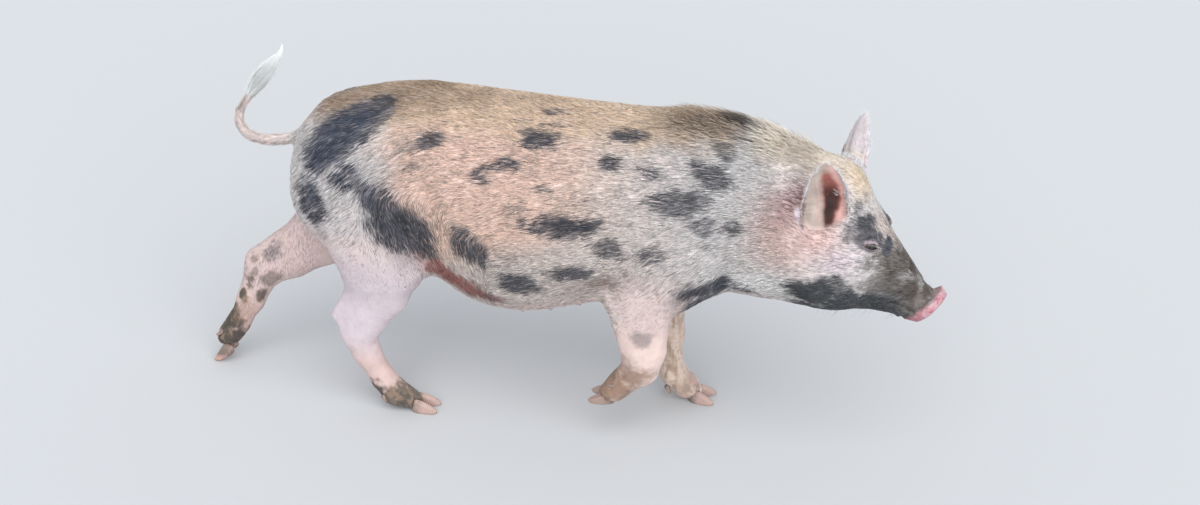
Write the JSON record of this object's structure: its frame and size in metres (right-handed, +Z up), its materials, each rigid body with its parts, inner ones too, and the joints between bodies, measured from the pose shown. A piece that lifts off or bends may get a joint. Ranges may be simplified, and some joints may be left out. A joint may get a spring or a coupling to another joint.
{
  "type": "pig",
  "caption": "Still life-size model of a young spotted pig in mid trot, white and pink with black patches, ginger back, lop ears and a raised tufted tail.",
  "frame": {"origin": "on the ground under the middle of the whole animal's bounding box", "axes": "+X towards the snout, +Y to the pig's left, +Z up"},
  "size_m": [1.0012, 0.216, 0.5021],
  "materials": {
    "skin": "matte hide with short bristle coat, white, ginger and black",
    "bristle": "long soft white hair",
    "claw": "dull horn, muddy",
    "eye": "wet gloss"
  },
  "bodies": {
    "root": {"cannon_fore_left": "skin", "cannon_fore_right": "skin", "cannon_hind_left": "skin", "cannon_hind_right": "skin", "claw_fore_left_inner": "claw", "claw_fore_left_outer": "claw", "claw_fore_right_inner": "claw", "claw_fore_right_outer": "claw", "claw_hind_left_inner": "claw", "claw_hind_left_outer": "claw", "claw_hind_right_inner": "claw", "claw_hind_right_outer": "claw", "dew_claw_fore_left_inner": "claw", "dew_claw_fore_left_outer": "claw", "dew_claw_fore_right_inner": "claw", "dew_claw_fore_right_outer": "claw", "dew_claw_hind_left_inner": "claw", "dew_claw_hind_left_outer": "claw", "dew_claw_hind_right_inner": "claw", "dew_claw_hind_right_outer": "claw", "ear_left": "skin", "ear_right": "skin", "eye_left": "eye", "eye_right": "eye", "foot_fore_left": "skin", "foot_fore_right": "skin", "foot_hind_left": "skin", "foot_hind_right": "skin", "forearm_fore_left": "skin", "forearm_fore_right": "skin", "head": "skin", "neck": "skin", "snout": "skin", "tail": "skin", "tail_brush": "bristle", "thigh_hind_left": "skin", "thigh_hind_right": "skin", "trunk": "skin"}
  },
  "joints": []
}
